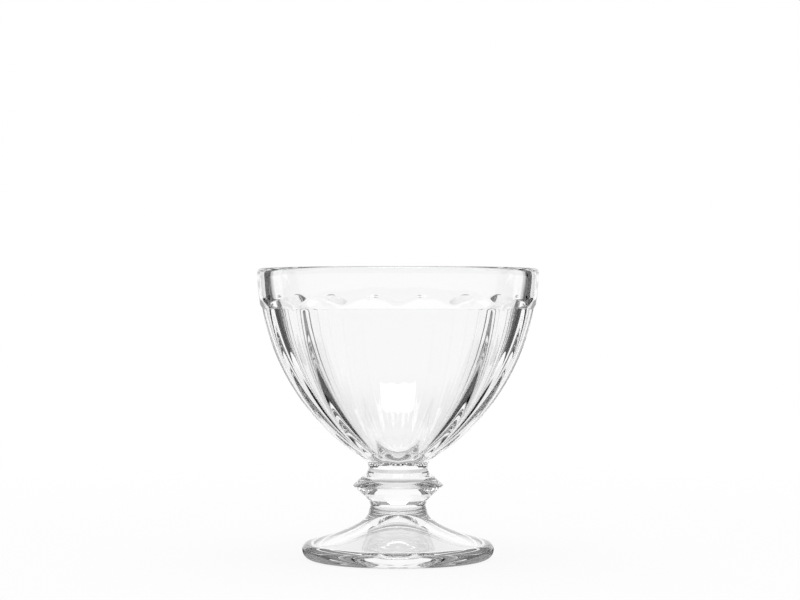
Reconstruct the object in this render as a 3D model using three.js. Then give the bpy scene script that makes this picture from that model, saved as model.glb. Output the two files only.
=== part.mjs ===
// A footed ice cream glass in clear pressed glass: a bowl with a plain band and arched flutes, a short
// stem with a double-cone knop between two coved collars, and a flared foot that is hollow underneath.
// The five pieces are welded end to end while hot, so each one stands flat on the piece below it.
// Millimetres, +Z up. The origin is the middle of the ring that the foot stands on.
import * as THREE from "three";

// Foot
const FOOT_HEIGHT = 17.2; // standing ring to the weld under the lower collar
const FOOT_RADIUS = 34; // at the widest part of the rounded edge
const FOOT_EDGE_HEIGHT = 3.3; // height of that widest part
const FOOT_EDGE_ROUND = 2.7; // rounding from the widest part up to the sloping top
const FOOT_SLOPE = THREE.MathUtils.degToRad(15.5); // fall of the sloping top
const FOOT_FLARE_RADIUS = 28.5; // where the slope starts to sweep up into the neck
const FOOT_NECK_RADIUS = 10.3; // at the weld to the lower collar
const STANDING_RING_RADIUS = 30; // middle of the flat ring that the glass stands on
const STANDING_RING_WIDTH = 1.2;
const HOLLOW_HEIGHT = 15.5; // top of the tent-shaped hollow
const HOLLOW_CROWN_REACH = 4.5; // pull of its curve outwards at the top
const HOLLOW_WAIST_RADIUS = 8; // pull of its curve inwards at the waist
const HOLLOW_WAIST_HEIGHT = 3.5;
const HOLLOW_BRIM_RADIUS = 25; // pull of its curve downwards to the standing ring
const HOLLOW_BRIM_HEIGHT = 2.8;

// Stem
const LOWER_COLLAR_HEIGHT = 3.7;
const LOWER_COLLAR_WAIST = 9.9; // radius where the cove is narrowest
const KNOP_HEIGHT = 9.7;
const KNOP_RADIUS = 16.1; // at the sharp edge
const KNOP_EDGE_HEIGHT = 5.1; // of that edge above the knop's lower weld
const KNOP_LOWER_RADIUS = 10.6; // at the weld to the lower collar
const KNOP_UPPER_RADIUS = 11; // at the weld to the upper collar
const UPPER_COLLAR_HEIGHT = 4;
const UPPER_COLLAR_WAIST = 10.6;

// Bowl
const BOWL_HEIGHT = 68.4; // from its weld to the top of the rim
const RIM_RADIUS = 50; // outside
const RIM_WALL = 4.2; // thickness of the lip
const RIM_ROUND = 1.5; // of the lip's two edges, with a narrow flat between them
const BOWL_BASE_RADIUS = 11.2; // at the weld to the upper collar
const BOWL_SIDE_RADIUS = 79.6; // of the arc that the outside follows from base to rim
const BOWL_INNER_SIDE_RADIUS = 78; // of the arc that the inside follows from bottom to rim
const BOWL_FLOOR = 3; // glass under the middle of the bowl
const BOWL_BOTTOM_ROUND = 19; // radius of the rounded bottom inside
const FLUTE_COUNT = 16;
const FLUTE_DEPTH = 1.8; // in the middle of a flute, at the rim's radius
const FLUTE_TOP_DROP = 11; // from the rim down to the crowns of the arches
const FLUTE_ARCH_RISE = 3.2; // from the springing of an arch to its crown
const RIB_SHARE = 0.28; // of half a flute's width, rounded over into the rib beside it
const FLUTE_RUNOUT = 3; // the flutes fade out over this height above the base

// Fineness of the faceted surfaces
const FACETS_PER_FLUTE = 8;
const TURNED_FACETS = 60;
const CURVE_STEPS = 6;
const HOLLOW_STEPS = 10;
const ROUND_STEPS = 4;
const SAME_POINT = 1e-6; // points closer than this are one point

// The heights where one piece is welded to the next.
const LOWER_COLLAR_Z = FOOT_HEIGHT;
const KNOP_Z = LOWER_COLLAR_Z + LOWER_COLLAR_HEIGHT;
const UPPER_COLLAR_Z = KNOP_Z + KNOP_HEIGHT;
const BOWL_Z = UPPER_COLLAR_Z + UPPER_COLLAR_HEIGHT;

// The points of a path of lines, rounds and curves, without the repeats where one runs into the next.
function pointsAlong(path) {
  const steps = { LineCurve: 1, EllipseCurve: ROUND_STEPS };
  const points = path.curves.flatMap((curve) => curve.getPoints(steps[curve.type] ?? CURVE_STEPS));
  return points.filter((p, i) => i === 0 || p.distanceTo(points[i - 1]) > SAME_POINT);
}

// A solid of revolution about Z from an outline of radius and height that runs anticlockwise.
function turned(outline, facets) {
  return new THREE.LatheGeometry(outline, facets).rotateX(Math.PI / 2);
}

// The point a share of the way along the smooth curve that a row of points pulls into shape.
function pulledCurve(pulls, share) {
  let row = pulls;
  while (row.length > 1) {
    const last = row;
    row = last.slice(1).map((point, i) => last[i].clone().lerp(point, share));
  }
  return row[0];
}

// The meeting point, on the side nearer the axis, of two circles given by centre and radius.
function circlesMeet(a, aRadius, b, bRadius) {
  const gap = a.distanceTo(b);
  const along = (gap * gap + aRadius * aRadius - bRadius * bRadius) / (2 * gap);
  const aside = Math.sqrt(aRadius * aRadius - along * along);
  const toward = b.clone().sub(a).normalize();
  const left = new THREE.Vector2(-toward.y, toward.x);
  return a.clone().addScaledVector(toward, along).addScaledVector(left, aside);
}

// The foot stands on a flat ring. Its top falls from the neck to a rounded edge, and a tent-shaped
// hollow underneath runs from the standing ring up into the neck.
function footGeometry() {
  const ringInner = STANDING_RING_RADIUS - STANDING_RING_WIDTH / 2;
  const ringOuter = STANDING_RING_RADIUS + STANDING_RING_WIDTH / 2;
  const underReach = FOOT_RADIUS - ringOuter;
  const edgeCentre = FOOT_RADIUS - FOOT_EDGE_ROUND;
  const slopeTop = Math.PI / 2 - FOOT_SLOPE;
  const slopeEndRadius = edgeCentre + FOOT_EDGE_ROUND * Math.cos(slopeTop);
  const slopeEndHeight = FOOT_EDGE_HEIGHT + FOOT_EDGE_ROUND * Math.sin(slopeTop);
  const slopeHeight = (radius) => slopeEndHeight + (slopeEndRadius - radius) * Math.tan(FOOT_SLOPE);

  const pulls = [
    new THREE.Vector2(0, HOLLOW_HEIGHT),
    new THREE.Vector2(HOLLOW_CROWN_REACH, HOLLOW_HEIGHT),
    new THREE.Vector2(HOLLOW_WAIST_RADIUS, HOLLOW_WAIST_HEIGHT),
    new THREE.Vector2(HOLLOW_BRIM_RADIUS, HOLLOW_BRIM_HEIGHT),
    new THREE.Vector2(ringInner, 0),
  ];
  const hollow = [];
  for (let i = 0; i < HOLLOW_STEPS; i += 1) hollow.push(pulledCurve(pulls, i / HOLLOW_STEPS));

  const outline = new THREE.Path();
  outline.moveTo(ringInner, 0);
  outline.lineTo(ringOuter, 0);
  outline.absellipse(ringOuter, FOOT_EDGE_HEIGHT, underReach, FOOT_EDGE_HEIGHT, -Math.PI / 2, 0);
  outline.absarc(edgeCentre, FOOT_EDGE_HEIGHT, FOOT_EDGE_ROUND, 0, slopeTop);
  outline.lineTo(FOOT_FLARE_RADIUS, slopeHeight(FOOT_FLARE_RADIUS));
  outline.quadraticCurveTo(FOOT_NECK_RADIUS, slopeHeight(FOOT_NECK_RADIUS), FOOT_NECK_RADIUS, FOOT_HEIGHT);
  outline.lineTo(0, FOOT_HEIGHT);
  return turned([...hollow, ...pointsAlong(outline)], TURNED_FACETS);
}

// A collar is a short neck with a cove turned into it, as wide at each end as the piece that it meets.
function collarGeometry(height, lowerRadius, waist, upperRadius) {
  const middle = (lowerRadius + upperRadius) / 2;
  const outline = new THREE.Path();
  outline.moveTo(0, 0);
  outline.lineTo(lowerRadius, 0);
  outline.quadraticCurveTo(2 * waist - middle, height / 2, upperRadius, height);
  outline.lineTo(0, height);
  return turned(pointsAlong(outline), TURNED_FACETS);
}

// The knop is two cones, base to base, that meet in a sharp edge.
function knopGeometry() {
  const outline = new THREE.Path();
  outline.moveTo(0, 0);
  outline.lineTo(KNOP_LOWER_RADIUS, 0);
  outline.lineTo(KNOP_RADIUS, KNOP_EDGE_HEIGHT);
  outline.lineTo(KNOP_UPPER_RADIUS, KNOP_HEIGHT);
  outline.lineTo(0, KNOP_HEIGHT);
  return turned(pointsAlong(outline), TURNED_FACETS);
}

// How far out a flute's section has come, for a place from 0 in the middle of the flute to 1 on a rib.
// It is a parabola that turns over, without a corner, into the rounded rib.
function fluteSection(across) {
  const flank = 1 - RIB_SHARE;
  if (across <= flank) return across * across;
  return flank * (1 - (1 - across) ** 2 / RIB_SHARE);
}

// The bowl's outside is one arc from base to rim and its inside another, which runs into a rounded bottom.
// The flutes are pressed into the outside, and each ends in an arch under the plain band.
function bowlGeometry() {
  const lipHeight = BOWL_HEIGHT - RIM_ROUND;
  const fluteTop = BOWL_HEIGHT - FLUTE_TOP_DROP;
  const springing = fluteTop - FLUTE_ARCH_RISE;

  const base = new THREE.Vector2(BOWL_BASE_RADIUS, 0);
  const rim = new THREE.Vector2(RIM_RADIUS, lipHeight);
  const outerCentre = circlesMeet(base, BOWL_SIDE_RADIUS, rim, BOWL_SIDE_RADIUS);
  const outside = (height) => {
    const radius = outerCentre.x + Math.sqrt(BOWL_SIDE_RADIUS ** 2 - (height - outerCentre.y) ** 2);
    return new THREE.Vector2(radius, height);
  };

  const bottomCentre = new THREE.Vector2(0, BOWL_FLOOR + BOWL_BOTTOM_ROUND);
  const innerRim = new THREE.Vector2(RIM_RADIUS - RIM_WALL, lipHeight);
  const innerCentre = circlesMeet(
    bottomCentre, BOWL_INNER_SIDE_RADIUS - BOWL_BOTTOM_ROUND, innerRim, BOWL_INNER_SIDE_RADIUS,
  );
  const tangent = bottomCentre.clone().sub(innerCentre).angle();
  const innerTop = innerRim.clone().sub(innerCentre).angle();

  // Heights of the outside's rings: close together where the arches are, further apart along the side.
  const rings = [];
  const addRings = (from, to, count) => {
    for (let i = 0; i < count; i += 1) rings.push(from + ((to - from) * i) / count);
  };
  addRings(0, FLUTE_RUNOUT, 1);
  addRings(FLUTE_RUNOUT, springing, 9);
  addRings(springing, fluteTop, 4);
  addRings(fluteTop, lipHeight, 1);

  const wall = new THREE.Path();
  wall.absarc(RIM_RADIUS - RIM_ROUND, lipHeight, RIM_ROUND, 0, Math.PI / 2);
  wall.absarc(RIM_RADIUS - RIM_WALL + RIM_ROUND, lipHeight, RIM_ROUND, Math.PI / 2, Math.PI);
  wall.absarc(innerCentre.x, innerCentre.y, BOWL_INNER_SIDE_RADIUS, innerTop, tangent, true);
  wall.absarc(bottomCentre.x, bottomCentre.y, BOWL_BOTTOM_ROUND, tangent, -Math.PI / 2, true);
  const inside = pointsAlong(wall);
  const outline = [new THREE.Vector2(0, 0), ...rings.map(outside), ...inside];

  const geometry = turned(outline, FLUTE_COUNT * FACETS_PER_FLUTE);
  const position = geometry.getAttribute("position");
  const halfFlute = Math.PI / FLUTE_COUNT;
  for (let i = 0; i < position.count; i += 1) {
    const ring = i % outline.length;
    if (ring === 0 || ring > rings.length) continue;
    const height = outline[ring].y;
    const radius = outline[ring].x;
    const facet = Math.floor(i / outline.length) % FACETS_PER_FLUTE;
    const across = Math.abs((2 * facet) / FACETS_PER_FLUTE - 1); // 1 on a rib, 0 in the middle of a flute
    const down = Math.min((fluteTop - height) / FLUTE_ARCH_RISE, 1); // 0 at a crown, 1 at its springing
    const taper = (radius / RIM_RADIUS) * Math.min(height / FLUTE_RUNOUT, 1);
    const cut = FLUTE_DEPTH * taper * Math.max(down - fluteSection(across), 0);
    const turn = (2 * halfFlute * Math.floor(i / outline.length)) / FACETS_PER_FLUTE;
    position.setX(i, (radius - cut) * Math.sin(turn));
    position.setY(i, -(radius - cut) * Math.cos(turn));
  }
  return geometry;
}

// Clear glass, a trace greener in the thick foot than in the bowl.
function clearGlass(color) {
  return new THREE.MeshStandardMaterial({
    color, roughness: 0.04, metalness: 0, transparent: true, opacity: 0.35,
  });
}

const PIECES = [
  ["foot", 0, footGeometry(), 0xeef3f1],
  [
    "lower_collar", LOWER_COLLAR_Z,
    collarGeometry(LOWER_COLLAR_HEIGHT, FOOT_NECK_RADIUS, LOWER_COLLAR_WAIST, KNOP_LOWER_RADIUS), 0xf0f4f3,
  ],
  ["knop", KNOP_Z, knopGeometry(), 0xeff3f2],
  [
    "upper_collar", UPPER_COLLAR_Z,
    collarGeometry(UPPER_COLLAR_HEIGHT, KNOP_UPPER_RADIUS, UPPER_COLLAR_WAIST, BOWL_BASE_RADIUS), 0xf0f4f3,
  ],
  ["bowl", BOWL_Z, bowlGeometry(), 0xf3f6f5],
];

const glass = new THREE.Group();
for (const [name, height, geometry, color] of PIECES) {
  const piece = new THREE.Mesh(geometry, clearGlass(color));
  piece.name = name;
  piece.position.z = height;
  glass.add(piece);
}

export default glass;
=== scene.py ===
import math

import bpy
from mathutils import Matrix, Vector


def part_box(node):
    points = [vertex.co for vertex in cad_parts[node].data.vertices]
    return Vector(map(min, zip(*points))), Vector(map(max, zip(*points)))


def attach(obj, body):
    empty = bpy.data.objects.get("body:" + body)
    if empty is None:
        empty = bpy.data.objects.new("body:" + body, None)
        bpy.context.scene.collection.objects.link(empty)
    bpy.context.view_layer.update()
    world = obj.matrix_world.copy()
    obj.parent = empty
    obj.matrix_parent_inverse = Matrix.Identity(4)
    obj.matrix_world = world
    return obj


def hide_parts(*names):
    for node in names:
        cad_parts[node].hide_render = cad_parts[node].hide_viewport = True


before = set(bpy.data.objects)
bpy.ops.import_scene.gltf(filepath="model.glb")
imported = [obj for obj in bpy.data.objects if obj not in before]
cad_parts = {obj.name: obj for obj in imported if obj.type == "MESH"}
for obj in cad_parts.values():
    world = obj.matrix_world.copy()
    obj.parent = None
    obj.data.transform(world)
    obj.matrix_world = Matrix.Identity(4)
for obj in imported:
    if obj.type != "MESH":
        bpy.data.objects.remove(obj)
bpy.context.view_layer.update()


# Foot: a disc of clear glass pressed in a mould, with a rounded edge, a flat ring that it stands on and a
# tent-shaped hollow underneath. Its top sweeps up into a neck, and the stem is welded hot to that neck. All
# sizes of the glass are in mm.
MM = 0.001
SAME_POINT = 0.0001
FULL_TURN = 2 * math.pi
QUARTER_TURN = math.pi / 2


def frame_reach(node):
    """How far a node of the frame reaches from the glass's axis."""
    return round(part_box(node)[1].x / MM, 3)


def frame_top(node):
    """The height of the top of a node of the frame."""
    return round(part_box(node)[1].z / MM, 3)


FOOT_RADIUS = frame_reach("foot")
FOOT_HEIGHT = frame_top("foot")
FOOT_EDGE_HEIGHT = 3.3
FOOT_EDGE_ROUND = 2.7
FOOT_SLOPE = math.radians(15.5)
FOOT_FLARE_RADIUS = 28.5
FOOT_NECK_RADIUS = 10.3
STANDING_RING_RADIUS = 30.0
STANDING_RING_WIDTH = 1.2
HOLLOW_HEIGHT = 15.5
HOLLOW_CROWN_REACH = 4.5
HOLLOW_WAIST_RADIUS = 8.0
HOLLOW_WAIST_HEIGHT = 3.5
HOLLOW_BRIM_RADIUS = 25.0
HOLLOW_BRIM_HEIGHT = 2.8
FOOT_WAVE_SIZE = 6.0
FOOT_WAVE_DEPTH = 0.008
FOOT_SCUFFS = 0.4
SCUFF_HEIGHT = 0.3

GLASS_IOR = 1.52
COLOURLESS = (1, 1, 1, 1)
THICK_GLASS_TINT = (0.985, 0.99, 0.988, 1)
TINT_DRIFTS_PER_METRE = 45.0
HAZE_SPOTS_PER_METRE = 900.0
HAZE_ROUGHNESS = 0.012
FACES_AROUND = 240
GLASS_SLOT, WELD_SLOT = 0, 1
COLOUR_A, COLOUR_B, MIXED_COLOUR = 6, 7, 2  # a Mix node's sockets for colours


def round_corner(centre, across, up, start, end, steps):
    """Points round part of an ellipse, given by its centre and its two half-widths."""
    points = []
    for step in range(steps + 1):
        angle = start + (end - start) * step / steps
        points.append((centre[0] + across * math.cos(angle), centre[1] + up * math.sin(angle)))
    return points


def pulled_curve(pulls, steps):
    """Points on the smooth curve that a row of points pulls into shape."""
    points = []
    for step in range(steps + 1):
        share = step / steps
        row = pulls
        while len(row) > 1:
            row = [tuple(p + (q - p) * share for p, q in zip(*pair)) for pair in zip(row, row[1:])]
        points.append(row[0])
    return points


def turned_piece(name, outline, finish, welds, around=FACES_AROUND, cut=None):
    """A closed piece turned about Z from radius and height, axis to axis, anticlockwise.
    A flat face at a weld has no surface to see: the glass of both pieces runs through it."""
    rows = outline[:1] + [q for p, q in zip(outline, outline[1:]) if math.dist(p, q) > SAME_POINT]
    corners, rings = [], []
    for radius, height in rows:
        count = around if radius > SAME_POINT else 1
        rings.append((len(corners), count))
        for k in range(count):
            angle = FULL_TURN * k / around
            reach = radius - (cut(angle, radius, height) if cut else 0)
            corners.append((reach * math.sin(angle) * MM, -reach * math.cos(angle) * MM, height * MM))
    faces, slots, weld_rims = [], [], set()
    for i, ((low, low_count), (high, high_count)) in enumerate(zip(rings, rings[1:])):
        ends = (rows[i][1], rows[i + 1][1])
        is_weld = any(max(abs(end - weld) for end in ends) < SAME_POINT for weld in welds)
        rim = low if low_count > high_count else high
        for k in range(around):
            loop = [
                low + k % low_count, low + (k + 1) % low_count,
                high + (k + 1) % high_count, high + k % high_count,
            ]
            faces.append(list(dict.fromkeys(loop)))
            slots.append(WELD_SLOT if is_weld else GLASS_SLOT)
            if is_weld:
                weld_rims.add(frozenset((rim + k, rim + (k + 1) % around)))
    mesh = bpy.data.meshes.new(name)
    mesh.from_pydata(corners, [], faces)
    mesh.materials.append(finish)
    mesh.materials.append(fused_weld)
    mesh.polygons.foreach_set("material_index", slots)
    mesh.shade_smooth()
    for edge in mesh.edges:
        edge.use_edge_sharp = frozenset(edge.vertices) in weld_rims
    mesh.update()
    piece = bpy.data.objects.new(name, mesh)
    bpy.context.scene.collection.objects.link(piece)
    return piece


class Value:
    """An output of a node. Sums, differences and products of values are written as Python."""

    def __init__(self, finish, socket):
        self.finish = finish
        self.socket = socket

    def combine(self, operation, first, second):
        return self.finish.node("ShaderNodeMath", {"operation": operation}, {0: first, 1: second})

    def __add__(self, other):
        return self.combine("ADD", self, other)

    def __sub__(self, other):
        return self.combine("SUBTRACT", self, other)

    def __rsub__(self, other):
        return self.combine("SUBTRACT", other, self)

    def __mul__(self, other):
        return self.combine("MULTIPLY", self, other)

    __radd__ = __add__
    __rmul__ = __mul__

    def larger(self, other):
        return self.combine("MAXIMUM", self, other)

    def rise(self, start, end):
        """From 0 to 1, with soft ends, as this value goes from start to end."""
        ends = {"Value": self, "From Min": start, "From Max": end}
        return self.finish.node("ShaderNodeMapRange", {"interpolation_type": "SMOOTHSTEP"}, ends, "Result")


class Finish:
    """The nodes of one material or of the world."""

    def __init__(self, owner):
        owner.use_nodes = True
        self.tree = owner.node_tree
        self.tree.nodes.clear()

    def node(self, kind, settings, sockets, output=0):
        made = self.tree.nodes.new(kind)
        for name, setting in settings.items():
            setattr(made, name, setting)
        for name, given in sockets.items():
            if isinstance(given, Value):
                self.tree.links.new(given.socket, made.inputs[name])
            else:
                made.inputs[name].default_value = given
        return Value(self, made.outputs[output]) if made.outputs else None


def clear_glass(name, tint, wave_size, wave_depth, scuffs=0.0):
    """Pressed, fire-polished glass: a trace of colour that drifts through it, a skin with faint waves and
    haze, and scuffs on the face that it stands on."""
    material = bpy.data.materials.new(name)
    finish = Finish(material)
    place = finish.node("ShaderNodeTexCoord", {}, {}, "Object")

    def noise(scale, detail):
        return finish.node("ShaderNodeTexNoise", {}, {"Vector": place, "Scale": scale, "Detail": detail})

    drift = {0: noise(TINT_DRIFTS_PER_METRE, detail=2.0), COLOUR_A: COLOURLESS, COLOUR_B: tint}
    colour = finish.node("ShaderNodeMix", {"data_type": "RGBA"}, drift, MIXED_COLOUR)
    waves = noise(1 / (wave_size * MM), detail=1.0)
    bump = {"Strength": 1.0, "Distance": wave_depth * MM, "Height": waves}
    skin = finish.node("ShaderNodeBump", {}, bump)
    haze = noise(HAZE_SPOTS_PER_METRE, detail=3.0)
    roughness = haze * HAZE_ROUGHNESS
    if scuffs:
        height = finish.node("ShaderNodeSeparateXYZ", {}, {0: place}, "Z")
        roughness = roughness + (1 - height.rise(0.0, SCUFF_HEIGHT * MM)) * haze * scuffs
    shader = finish.node(
        "ShaderNodeBsdfPrincipled", {},
        {
            "Base Color": colour, "Roughness": roughness, "Normal": skin,
            "IOR": GLASS_IOR, "Transmission Weight": 1.0,
        },
    )
    finish.node("ShaderNodeOutputMaterial", {}, {"Surface": shader})
    return material


fused_weld = bpy.data.materials.new("fused_weld")
weld_finish = Finish(fused_weld)
weld_shader = weld_finish.node("ShaderNodeBsdfTransparent", {}, {"Color": COLOURLESS})
weld_finish.node("ShaderNodeOutputMaterial", {}, {"Surface": weld_shader})

ring_inside = STANDING_RING_RADIUS - STANDING_RING_WIDTH / 2
ring_outside = STANDING_RING_RADIUS + STANDING_RING_WIDTH / 2
edge_centre = FOOT_RADIUS - FOOT_EDGE_ROUND
slope_top = QUARTER_TURN - FOOT_SLOPE
slope_end = (
    edge_centre + FOOT_EDGE_ROUND * math.cos(slope_top),
    FOOT_EDGE_HEIGHT + FOOT_EDGE_ROUND * math.sin(slope_top),
)


def foot_slope(radius):
    """The height of the foot's sloping top."""
    return slope_end[1] + (slope_end[0] - radius) * math.tan(FOOT_SLOPE)


foot_outline = pulled_curve(
    [
        (0, HOLLOW_HEIGHT),
        (HOLLOW_CROWN_REACH, HOLLOW_HEIGHT),
        (HOLLOW_WAIST_RADIUS, HOLLOW_WAIST_HEIGHT),
        (HOLLOW_BRIM_RADIUS, HOLLOW_BRIM_HEIGHT),
        (ring_inside, 0),
    ],
    steps=60,
)
foot_outline += round_corner(
    (ring_outside, FOOT_EDGE_HEIGHT),
    FOOT_RADIUS - ring_outside, FOOT_EDGE_HEIGHT, -QUARTER_TURN, 0, steps=16,
)
foot_outline += round_corner(
    (edge_centre, FOOT_EDGE_HEIGHT), FOOT_EDGE_ROUND, FOOT_EDGE_ROUND, 0, slope_top, steps=16
)
foot_outline += pulled_curve(
    [
        (FOOT_FLARE_RADIUS, foot_slope(FOOT_FLARE_RADIUS)),
        (FOOT_NECK_RADIUS, foot_slope(FOOT_NECK_RADIUS)),
        (FOOT_NECK_RADIUS, FOOT_HEIGHT),
    ],
    steps=48,
)
foot_outline.append((0, FOOT_HEIGHT))
foot_glass = clear_glass("foot_glass", THICK_GLASS_TINT, FOOT_WAVE_SIZE, FOOT_WAVE_DEPTH, FOOT_SCUFFS)
foot = turned_piece("foot_visual", foot_outline, foot_glass, welds=[FOOT_HEIGHT])
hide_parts("foot")
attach(foot, "root")


# Lower collar: a short solid neck of glass with a cove turned into it. It is welded hot to the foot below
# it and to the knop above it.
LOWER_COLLAR_WAIST = 9.9
KNOP_Z = frame_top("lower_collar")
KNOP_LOWER_RADIUS = 10.6
STEM_WAVE_SIZE = 5.0
STEM_WAVE_DEPTH = 0.01


def collar_outline(low, low_radius, waist, high, high_radius):
    """A cove between two welds: radius and height from axis to axis."""
    pull = 2 * waist - (low_radius + high_radius) / 2
    cove = pulled_curve([(low_radius, low), (pull, (low + high) / 2), (high_radius, high)], steps=24)
    return [(0, low), *cove, (0, high)]


stem_glass = clear_glass("stem_glass", THICK_GLASS_TINT, STEM_WAVE_SIZE, STEM_WAVE_DEPTH)
lower_collar = turned_piece(
    "lower_collar_visual",
    collar_outline(FOOT_HEIGHT, FOOT_NECK_RADIUS, LOWER_COLLAR_WAIST, KNOP_Z, KNOP_LOWER_RADIUS),
    stem_glass,
    welds=[FOOT_HEIGHT, KNOP_Z],
)
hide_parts("lower_collar")
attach(lower_collar, "root")


# Knop: a solid bead of glass pressed to two cones, base to base, and welded hot between the collars. The
# edge where the cones meet is sharp, and the fire has just softened it.
KNOP_RADIUS = frame_reach("knop")
KNOP_EDGE_HEIGHT = 5.1
KNOP_EDGE_Z = KNOP_Z + KNOP_EDGE_HEIGHT
KNOP_EDGE_ROUND = 0.2
KNOP_UPPER_RADIUS = 11.0
UPPER_COLLAR_Z = frame_top("knop")


def straight(start, end, steps):
    """Points on a line, evenly spaced."""
    return pulled_curve([start, end], steps)


knop_edge = pulled_curve(
    [
        (KNOP_RADIUS - KNOP_EDGE_ROUND, KNOP_EDGE_Z - KNOP_EDGE_ROUND),
        (KNOP_RADIUS, KNOP_EDGE_Z),
        (KNOP_RADIUS - KNOP_EDGE_ROUND, KNOP_EDGE_Z + KNOP_EDGE_ROUND),
    ],
    steps=8,
)
knop_outline = [(0, KNOP_Z)]
knop_outline += straight((KNOP_LOWER_RADIUS, KNOP_Z), knop_edge[0], steps=12)
knop_outline += knop_edge
knop_outline += straight(knop_edge[-1], (KNOP_UPPER_RADIUS, UPPER_COLLAR_Z), steps=12)
knop_outline.append((0, UPPER_COLLAR_Z))
knop = turned_piece("knop_visual", knop_outline, stem_glass, welds=[KNOP_Z, UPPER_COLLAR_Z])
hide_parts("knop")
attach(knop, "root")


# Upper collar: a short solid neck of glass with a cove turned into it, like the lower one and a little
# wider. It is welded hot to the knop below it and to the bowl above it.
UPPER_COLLAR_WAIST = 10.6
BOWL_Z = frame_top("upper_collar")
BOWL_BASE_RADIUS = 11.2

upper_collar = turned_piece(
    "upper_collar_visual",
    collar_outline(UPPER_COLLAR_Z, KNOP_UPPER_RADIUS, UPPER_COLLAR_WAIST, BOWL_Z, BOWL_BASE_RADIUS),
    stem_glass,
    welds=[UPPER_COLLAR_Z, BOWL_Z],
)
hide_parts("upper_collar")
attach(upper_collar, "root")


# Bowl: clear glass pressed in a mould, with a flat lip, rounded at both edges, and a plain band under it.
# Below the band, hollow flutes with arched tops are pressed into the outside, with a rib between each two.
# Its base is welded hot to the stem.
BOWL_TOP = frame_top("bowl")
RIM_RADIUS = frame_reach("bowl")
RIM_WALL = 4.2
RIM_ROUND = 1.5
LIP_Z = BOWL_TOP - RIM_ROUND
BOWL_SIDE_RADIUS = 79.6
BOWL_INNER_SIDE_RADIUS = 78.0
BOWL_FLOOR = 3.0
BOWL_BOTTOM_ROUND = 19.0
BOWL_TINT = (0.99, 0.994, 0.992, 1)
BOWL_WAVE_SIZE = 8.0
BOWL_WAVE_DEPTH = 0.02

FLUTE_COUNT = 16
FLUTE_DEPTH = 1.8
FLUTE_TOP_DROP = 11.0
FLUTE_TOP = BOWL_TOP - FLUTE_TOP_DROP
FLUTE_ARCH_RISE = 3.2
FLUTE_RUNOUT = 3.0
RIB_SHARE = 0.28
FACES_ACROSS_FLUTE = 26
FLUTE_EDGE_SOFTNESS = 0.1  # this and the next two are shares of the arch's rise
FLUTE_EDGE_REACH = 0.5
CROWN_STEP_RISE = 0.12
CROWN_STEP = 0.3
CROWN_STEP_NARROWING = 3.0
FINE_ROWS_MARGIN = 1.0


def circles_meet(a, a_radius, b, b_radius):
    """The meeting point, on the side nearer the axis, of two circles."""
    gap = math.dist(a, b)
    along = (gap * gap + a_radius * a_radius - b_radius * b_radius) / (2 * gap)
    aside = math.sqrt(a_radius * a_radius - along * along)
    toward = ((b[0] - a[0]) / gap, (b[1] - a[1]) / gap)
    return (a[0] + toward[0] * along - toward[1] * aside, a[1] + toward[1] * along + toward[0] * aside)


outer_centre = circles_meet(
    (BOWL_BASE_RADIUS, BOWL_Z), BOWL_SIDE_RADIUS, (RIM_RADIUS, LIP_Z), BOWL_SIDE_RADIUS
)


def outside_radius(height):
    """The bowl's outside before the flutes are pressed into it."""
    return outer_centre[0] + math.sqrt(BOWL_SIDE_RADIUS**2 - (height - outer_centre[1]) ** 2)


def flute_cut(angle, radius, height):
    """How deep the flutes go in at a point of the outside: a parabola across, an arch at the top."""
    if radius < outside_radius(height) - SAME_POINT or height > LIP_Z:
        return 0
    down = min((FLUTE_TOP - height) / FLUTE_ARCH_RISE, 1)
    if down < -FLUTE_EDGE_REACH:
        return 0
    across = abs(((angle * FLUTE_COUNT / math.pi) % 2) - 1)  # 1 on a rib, 0 in the middle of a flute
    section = across * across
    if across > 1 - RIB_SHARE:
        section = (1 - RIB_SHARE) * (1 - (1 - across) ** 2 / RIB_SHARE)
    inside_arch = down - section
    eased = (inside_arch + math.hypot(inside_arch, FLUTE_EDGE_SOFTNESS)) / 2
    share = min(max(inside_arch / CROWN_STEP_RISE, 0), 1)
    step = CROWN_STEP * share * share * (3 - 2 * share) * max(1 - across * CROWN_STEP_NARROWING, 0)
    taper = radius / RIM_RADIUS * min((height - BOWL_Z) / FLUTE_RUNOUT, 1)
    return FLUTE_DEPTH * taper * eased + step * max(1 - down, 0)


def outside_rows(low, high, rows):
    """Points up the outside, from low to just under high."""
    heights = [low + (high - low) * row / rows for row in range(rows)]
    return [(outside_radius(height), height) for height in heights]


springing = FLUTE_TOP - FLUTE_ARCH_RISE
above_flutes = FLUTE_TOP + FINE_ROWS_MARGIN
bottom_centre = (0, BOWL_Z + BOWL_FLOOR + BOWL_BOTTOM_ROUND)
inner_rim = (RIM_RADIUS - RIM_WALL, LIP_Z)
inner_centre = circles_meet(
    bottom_centre, BOWL_INNER_SIDE_RADIUS - BOWL_BOTTOM_ROUND, inner_rim, BOWL_INNER_SIDE_RADIUS
)
inner_top = math.atan2(inner_rim[1] - inner_centre[1], inner_rim[0] - inner_centre[0])
tangent = math.atan2(bottom_centre[1] - inner_centre[1], bottom_centre[0] - inner_centre[0])

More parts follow.
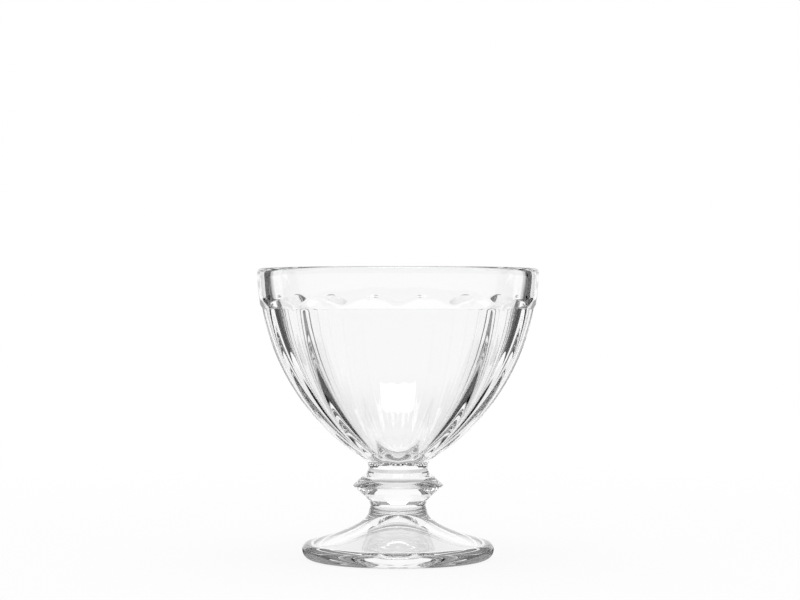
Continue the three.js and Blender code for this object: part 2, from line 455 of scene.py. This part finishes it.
bowl_outline = [(0, BOWL_Z)]
bowl_outline += outside_rows(BOWL_Z, springing, rows=90)
bowl_outline += outside_rows(springing, above_flutes, rows=56)
bowl_outline += outside_rows(above_flutes, LIP_Z, rows=8)
bowl_outline.append((outside_radius(LIP_Z), LIP_Z))
bowl_outline += round_corner(
    (RIM_RADIUS - RIM_ROUND, LIP_Z), RIM_ROUND, RIM_ROUND, 0, QUARTER_TURN, steps=8
)
bowl_outline += round_corner(
    (RIM_RADIUS - RIM_WALL + RIM_ROUND, LIP_Z), RIM_ROUND, RIM_ROUND, QUARTER_TURN, math.pi, steps=8
)
bowl_outline += round_corner(
    inner_centre, BOWL_INNER_SIDE_RADIUS, BOWL_INNER_SIDE_RADIUS, inner_top, tangent, steps=40
)
bowl_outline += round_corner(
    bottom_centre, BOWL_BOTTOM_ROUND, BOWL_BOTTOM_ROUND, tangent, -QUARTER_TURN, steps=20
)
bowl_glass = clear_glass("bowl_glass", BOWL_TINT, BOWL_WAVE_SIZE, BOWL_WAVE_DEPTH)
bowl = turned_piece(
    "bowl_visual", bowl_outline, bowl_glass,
    welds=[BOWL_Z], around=FLUTE_COUNT * FACES_ACROSS_FLUTE, cut=flute_cut,
)
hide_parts("bowl")
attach(bowl, "root")


# Floor: a plain pale table top, white to the eye, that takes the glass's soft shadow. To the glass it glows
# with painted shade close round the foot and painted light under the hollow, set by the distance from the
# axis. From here on, sizes are in metres.
FLOOR_SIZE = 4.0
FLOOR_PAINT = (0.9, 0.9, 0.9, 1)
PAINT_TO_THE_EYE = 0.1
SHADOW_REACH = 0.5
# Levels and reach of the painted shade round the foot and of the painted light under the hollow, which only
# the glass sees.
PAINTED_SHADE_LEVEL = 0.28
PAINTED_SHADE_FROM = 0.03
PAINTED_SHADE_TO = 0.08
PAINTED_HOLLOW_LIGHT_LEVEL = 0.8
PAINTED_HOLLOW_LIGHT_EDGE = 0.027


def square(half):
    """The corners of a flat square round the origin."""
    return [(-half, -half, 0), (half, -half, 0), (half, half, 0), (-half, half, 0)]


def stage_sheet(name, corners, material):
    """A flat sheet of the studio round the glass, which isn't part of it."""
    mesh = bpy.data.meshes.new(name)
    mesh.from_pydata(corners, [], [tuple(range(len(corners)))])
    mesh.materials.append(material)
    sheet = bpy.data.objects.new(name, mesh)
    bpy.context.scene.collection.objects.link(sheet)
    return sheet


def seen(finish, ray):
    """1 for a ray of the kind that is named, and 0 for any other."""
    return finish.node("ShaderNodeLightPath", {}, {}, ray)


floor_material = bpy.data.materials.new("pale_floor")
floor_finish = Finish(floor_material)
spot = floor_finish.node("ShaderNodeNewGeometry", {}, {}, "Position")
from_axis = floor_finish.node("ShaderNodeVectorMath", {"operation": "LENGTH"}, {0: spot}, "Value")
seen_by_eye = seen(floor_finish, "Is Camera Ray")
seen_in_glass = seen(floor_finish, "Is Glossy Ray").larger(seen(floor_finish, "Is Transmission Ray"))
# Painted shade round the foot, then painted light under the hollow, in the floor's glow for glass rays
# only.
painted_shade_round_foot = from_axis.rise(PAINTED_SHADE_FROM, PAINTED_SHADE_TO) * (1 - PAINTED_SHADE_LEVEL) + PAINTED_SHADE_LEVEL
painted_light_under_hollow = (1 - from_axis.rise(PAINTED_HOLLOW_LIGHT_EDGE, PAINTED_SHADE_FROM)) * (PAINTED_HOLLOW_LIGHT_LEVEL - PAINTED_SHADE_LEVEL)
floor_glow_with_painted_shade = seen_by_eye + seen_in_glass * (painted_shade_round_foot + painted_light_under_hollow)
floor_glow = floor_finish.node("ShaderNodeEmission", {}, {"Color": floor_glow_with_painted_shade, "Strength": 1.0})
floor_paint = floor_finish.node("ShaderNodeBsdfDiffuse", {}, {"Color": FLOOR_PAINT})
paint_share = (1 - from_axis.rise(0.0, SHADOW_REACH)) * PAINT_TO_THE_EYE
glow_share = seen_by_eye * (1 - paint_share) + seen_in_glass
floor_mix = floor_finish.node("ShaderNodeMixShader", {}, {0: glow_share, 1: floor_paint, 2: floor_glow})
floor_finish.node("ShaderNodeOutputMaterial", {}, {"Surface": floor_mix})
stage_sheet("floor", square(FLOOR_SIZE), floor_material)


# Studio: a tall white screen stands behind the glass, and low ones stand far off round its other sides.
# Black cards lie beside it and stand behind it, to its left and right, and give it its dark lines. Only the
# glass sees these. A soft lamp hangs high in front of it, and a wide one over the table.
WHITE = (1, 1, 1, 1)
BLACK = (0, 0, 0, 1)
WHITE_LEVEL = 1.0
BLACK_LEVEL = 0.0
BACK_SCREEN_DISTANCE = 1.5
BACK_SCREEN_HEIGHT = 2.4
BACK_SCREEN_REACH = 32  # azimuths are in degrees: 0 is behind the glass and 90 to its right
ROUND_SCREEN_DISTANCE = 3.0
ROUND_SCREEN_HEIGHT = 0.6
ROUND_SCREEN_WIDTH = 30
ROUND_SCREENS_START = 75
ROUND_SCREENS_END = 285
LOW_CARD_DISTANCE = 0.2
LOW_CARD_HEIGHT = 0.1
LOW_CARD_START = 43
LOW_CARD_END = 62
SOFT_CARD_ASIDE = 0.1
SOFT_CARD_BEHIND = 0.022
SOFT_CARD_LIFT = 0.0004
SOFT_CARD_HALF_LENGTH = 0.08
SOFT_CARD_HALF_WIDTH = 0.052
SOFT_CARD_FADE = 0.75
SOFT_LAMP_WIDTH = 0.6
SOFT_LAMP_DEPTH = 0.42
SOFT_LAMP_POWER = 2.2
SOFT_LAMP_PLACE = (0, -0.24, 1.3)
SOFT_LAMP_TILT = math.radians(-10.87)  # it leans towards the camera
OVERHEAD_LAMP_SIZE = 2.0
OVERHEAD_LAMP_POWER = 20.0
OVERHEAD_LAMP_PLACE = (0, 0, 1.5)
DOME_LEVEL = 0.08
DOME_RISE = 0.25


def polar(distance, azimuth, height):
    """A point round the glass."""
    turn = math.radians(azimuth)
    return (distance * math.sin(turn), distance * math.cos(turn), height)


def only_for_glass(sheet):
    """Hides a sheet from the eye and from the floor."""
    sheet.visible_camera = False
    sheet.visible_diffuse = False
    sheet.visible_shadow = False


def standing_sheet(name, level, distance, start, end, height):
    """A sheet that stands on the table, from one azimuth to another, and glows at an even level."""
    material = bpy.data.materials.new(name)
    finish = Finish(material)
    light = finish.node("ShaderNodeEmission", {}, {"Color": WHITE, "Strength": level})
    finish.node("ShaderNodeOutputMaterial", {}, {"Surface": light})
    lower = [polar(distance, start, 0), polar(distance, end, 0)]
    upper = [polar(distance, end, height), polar(distance, start, height)]
    sheet = stage_sheet(name, lower + upper, material)
    only_for_glass(sheet)
    return sheet


def soft_card(name, place):
    """A black felt card that lies on the table and fades out towards its edge."""
    material = bpy.data.materials.new(name)
    finish = Finish(material)
    spot = finish.node("ShaderNodeTexCoord", {}, {}, "Object")
    from_middle = finish.node("ShaderNodeVectorMath", {"operation": "LENGTH"}, {0: spot}, "Value")
    felt = finish.node("ShaderNodeEmission", {}, {"Color": BLACK, "Strength": BLACK_LEVEL})
    clear = finish.node("ShaderNodeBsdfTransparent", {}, {"Color": COLOURLESS})
    clear_share = from_middle.rise(SOFT_CARD_FADE, 1.0)
    faded = finish.node("ShaderNodeMixShader", {}, {0: clear_share, 1: felt, 2: clear})
    finish.node("ShaderNodeOutputMaterial", {}, {"Surface": faded})
    card = stage_sheet(name, square(1), material)
    card.location = place
    card.scale = (SOFT_CARD_HALF_LENGTH, SOFT_CARD_HALF_WIDTH, 1)
    only_for_glass(card)


def area_lamp(name, width, depth, power, place):
    """A flat lamp that shines downwards."""
    data = bpy.data.lights.new(name, "AREA")
    data.shape = "RECTANGLE"
    data.size = width
    data.size_y = depth
    data.energy = power
    lamp = bpy.data.objects.new(name, data)
    lamp.location = place
    bpy.context.scene.collection.objects.link(lamp)
    return lamp


standing_sheet(
    "back_screen", WHITE_LEVEL,
    BACK_SCREEN_DISTANCE, -BACK_SCREEN_REACH, BACK_SCREEN_REACH, BACK_SCREEN_HEIGHT,
)
for start in range(ROUND_SCREENS_START, ROUND_SCREENS_END, ROUND_SCREEN_WIDTH):
    screen = standing_sheet(
        f"round_screen_{start}", WHITE_LEVEL,
        ROUND_SCREEN_DISTANCE, start, start + ROUND_SCREEN_WIDTH, ROUND_SCREEN_HEIGHT,
    )
    screen.visible_glossy = False  # seen through the glass, and not mirrored by it
for side, hand in (("right", 1), ("left", -1)):
    standing_sheet(
        f"{side}_low_card", BLACK_LEVEL,
        LOW_CARD_DISTANCE, hand * LOW_CARD_START, hand * LOW_CARD_END, LOW_CARD_HEIGHT,
    )
    soft_card(f"{side}_soft_card", (hand * SOFT_CARD_ASIDE, SOFT_CARD_BEHIND, SOFT_CARD_LIFT))

soft_lamp = area_lamp("soft_lamp", SOFT_LAMP_WIDTH, SOFT_LAMP_DEPTH, SOFT_LAMP_POWER, SOFT_LAMP_PLACE)
soft_lamp.rotation_euler = (SOFT_LAMP_TILT, 0, 0)
overhead_lamp = area_lamp(
    "overhead_lamp", OVERHEAD_LAMP_SIZE, OVERHEAD_LAMP_SIZE, OVERHEAD_LAMP_POWER, OVERHEAD_LAMP_PLACE
)
overhead_lamp.visible_glossy = False
overhead_lamp.visible_transmission = False

world = bpy.data.worlds.new("studio")
bpy.context.scene.world = world
studio = Finish(world)
eye = seen(studio, "Is Camera Ray")
outward = studio.node("ShaderNodeTexCoord", {}, {}, "Generated")
upward = studio.node("ShaderNodeSeparateXYZ", {}, {0: outward}, "Z")
dome = upward * DOME_RISE + DOME_LEVEL
sky = studio.node("ShaderNodeBackground", {}, {"Color": eye + (1 - eye) * dome, "Strength": 1.0})
studio.node("ShaderNodeOutputWorld", {}, {"Surface": sky})


# Camera: level, in front of the glass and a little below its rim, as in the photograph. Light crosses many
# walls of glass before it leaves, so it is followed further than usual.
SENSOR_WIDTH = 36.0
LENS = 96.36
CAMERA_PLACE = (0.0007, -0.7614, 0.091)
CAMERA_TILT = math.radians(0.057)

camera_data = bpy.data.cameras.new("camera")
camera_data.sensor_width = SENSOR_WIDTH
camera_data.lens = LENS
camera = bpy.data.objects.new("camera", camera_data)
camera.location = CAMERA_PLACE
camera.rotation_euler = (QUARTER_TURN + CAMERA_TILT, 0, 0)
bpy.context.scene.collection.objects.link(camera)
bpy.context.scene.camera = camera
bpy.context.scene.view_settings.view_transform = "Standard"
bpy.context.scene.cycles.max_bounces = 24
bpy.context.scene.cycles.transmission_bounces = 24
bpy.context.scene.cycles.glossy_bounces = 12
bpy.context.scene.cycles.transparent_max_bounces = 32
